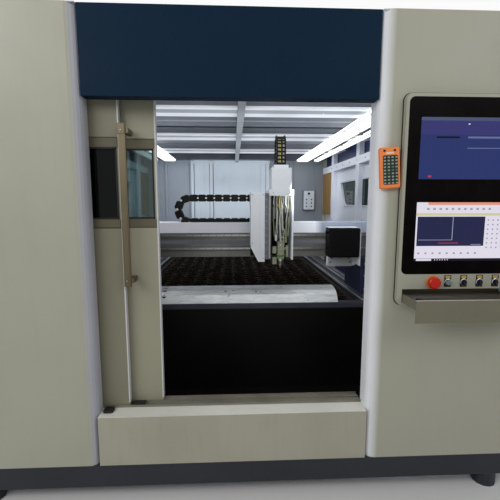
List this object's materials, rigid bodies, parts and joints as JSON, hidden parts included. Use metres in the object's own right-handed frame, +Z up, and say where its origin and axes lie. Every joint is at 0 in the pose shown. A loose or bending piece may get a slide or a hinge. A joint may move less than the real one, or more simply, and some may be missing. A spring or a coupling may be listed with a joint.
{
  "type": "enclosed fiber laser cutting machine",
  "caption": "Walk-up sheet metal laser cutter in a closed cabin, with a sliding front door, a gantry with a cutting head over a slat table, and a console with screens and a keyboard drawer.",
  "frame": {"origin": "on the floor, under the middle of the machine's bounding box", "axes": "+X to the operator's right at the front, +Y from the front to the back, +Z up"},
  "size_m": [3, 4.473, 2.45],
  "materials": {
    "frame_steel": "dark satin paint on steel",
    "shell_paint": "warm white textured powder coat",
    "blue_paint": "dark blue satin paint",
    "bare_metal": "ground steel",
    "grey_paint": "grey satin paint",
    "tinted_glass": "dark tinted polycarbonate",
    "brushed_metal": "brushed, slightly warm",
    "wall_paint": "cool white paint inside the enclosure",
    "roof_paint": "cool white paint",
    "lamp_lens": "diffusing lamp cover",
    "bed_paint": "blue-grey paint",
    "black_paint": "black satin paint",
    "burnt_steel": "scorched, slag covered",
    "sheet_metal": "mill finish with smears",
    "beam_metal": "machined dark grey",
    "cover_paint": "clean white powder coat",
    "head_metal": "olive grey anodised",
    "nozzle_metal": "worn copper alloy",
    "hose": "dull",
    "chain": "moulded, matt",
    "black_glass": "black backed glass",
    "screen_navy": "lit display, dark blue field",
    "screen_pale": "lit display, pale field",
    "stop_red": "gloss moulding",
    "start_cap": "gloss moulding",
    "knob": "matt moulding",
    "drawer_paint": "warm white powder coat",
    "keyboard": "matt moulding",
    "remote_case": "orange soft case"
  },
  "bodies": {
    "root": {"base_frame": "frame_steel", "column_left": "shell_paint", "column_right": "shell_paint", "header": "blue_paint", "sill": "shell_paint", "door_track": "bare_metal", "door_rail": "grey_paint", "side_wall_left": "wall_paint", "side_wall_right": "wall_paint", "side_wall_left_pane": "tinted_glass", "side_wall_right_pane": "tinted_glass", "back_wall": "wall_paint", "junction_box": "grey_paint", "roof": "roof_paint", "led_left": "lamp_lens", "led_right": "lamp_lens", "machine_bed": "bed_paint", "bed_front_panel": "black_paint", "guide_left": "bare_metal", "guide_right": "bare_metal", "slat_table": "burnt_steel", "front_apron": "sheet_metal", "console_housing": "shell_paint", "console_glass": "black_glass", "upper_screen": "screen_navy", "lower_screen": "screen_pale", "hand_remote": "remote_case"},
    "gantry": {"gantry_beam": "beam_metal", "chain_tray": "cover_paint", "gantry_leg_left": "beam_metal", "gantry_leg_right": "beam_metal", "drive_box_left": "black_paint", "drive_box_right": "black_paint", "drive_cover_left": "cover_paint", "drive_cover_right": "cover_paint", "x_chain_lower": "chain"},
    "pinion_left": {"y_pinion_left": "bare_metal"},
    "pinion_right": {"y_pinion_right": "bare_metal"},
    "carriage": {"carriage_plate": "frame_steel", "carriage_cover": "cover_paint", "z_cover": "cover_paint", "z_chain": "chain", "x_chain_upper": "chain", "hose_bundle": "hose"},
    "chain_loop": {"x_chain_loop": "chain"},
    "head": {"z_slide": "grey_paint", "cutting_head": "head_metal", "head_nozzle": "nozzle_metal"},
    "door_front": {"door_leaf_front": "shell_paint", "door_leaf_front_glass": "tinted_glass"},
    "door_rear": {"door_leaf_rear": "shell_paint", "door_leaf_rear_glass": "tinted_glass", "door_handle": "brushed_metal"},
    "drawer": {"keyboard_drawer": "drawer_paint", "keyboard": "keyboard"},
    "estop": {"estop_button": "stop_red"},
    "start": {"start_button": "start_cap"},
    "selector_a": {"selector_1": "knob"},
    "selector_b": {"selector_2": "knob"},
    "selector_c": {"selector_3": "knob"}
  },
  "joints": [
    {"name": "gantry_y", "type": "slide", "parent": "root", "child": "gantry", "axis": [0, 1, 0], "range_m": [-0.19, 2.4]},
    {"name": "pinion_left_spin", "type": "hinge", "parent": "gantry", "child": "pinion_left", "pos_m": [-1.0981, -0.81, 0.82], "axis": [0, 0, 1], "range_deg": [-4700, 400]},
    {"name": "pinion_right_spin", "type": "hinge", "parent": "gantry", "child": "pinion_right", "pos_m": [1.0981, -0.81, 0.82], "axis": [0, 0, 1], "range_deg": [-400, 4700]},
    {"name": "carriage_x", "type": "slide", "parent": "gantry", "child": "carriage", "axis": [1, 0, 0], "range_m": [-0.7, 0.27], "deforming": ["x_chain_upper", "x_chain_lower"]},
    {"name": "chain_loop_roll", "type": "slide", "parent": "carriage", "child": "chain_loop", "axis": [1, 0, 0], "range_m": [-0.14, 0.36]},
    {"name": "head_z", "type": "slide", "parent": "carriage", "child": "head", "axis": [0, 0, 1], "range_m": [-0.1, 0.02], "deforming": ["hose_bundle"]},
    {"name": "door_rear_slide", "type": "slide", "parent": "root", "child": "door_rear", "axis": [1, 0, 0], "range_m": [0, 1.105]},
    {"name": "door_front_slide", "type": "slide", "parent": "root", "child": "door_front", "axis": [1, 0, 0], "range_m": [0, 0.5525]},
    {"name": "drawer_slide", "type": "slide", "parent": "root", "child": "drawer", "axis": [0, -1, 0], "range_m": [-0.138, 0.1]},
    {"name": "estop_push", "type": "slide", "parent": "root", "child": "estop", "axis": [0, 1, 0], "range_m": [0, 0.006], "stiffness_N_per_m": 1500},
    {"name": "start_push", "type": "slide", "parent": "root", "child": "start", "axis": [0, 1, 0], "range_m": [0, 0.004], "stiffness_N_per_m": 800},
    {"name": "selector_a_turn", "type": "hinge", "parent": "root", "child": "selector_a", "pos_m": [1.0925, -2.0938, 1.165], "axis": [0, 1, 0], "range_deg": [-45, 45]},
    {"name": "selector_b_turn", "type": "hinge", "parent": "root", "child": "selector_b", "pos_m": [1.174, -2.0938, 1.165], "axis": [0, 1, 0], "range_deg": [-45, 45]},
    {"name": "selector_c_turn", "type": "hinge", "parent": "root", "child": "selector_c", "pos_m": [1.2555, -2.0938, 1.165], "axis": [0, 1, 0], "range_deg": [-45, 45]}
  ],
  "couplings": [
    {"joint": "pinion_left_spin", "follows": "gantry_y", "rad_per_m": -32.68},
    {"joint": "pinion_right_spin", "follows": "gantry_y", "rad_per_m": 32.68},
    {"joint": "chain_loop_roll", "follows": "carriage_x", "ratio": -0.5},
    {"joint": "door_front_slide", "follows": "door_rear_slide", "ratio": 0.5}
  ]
}
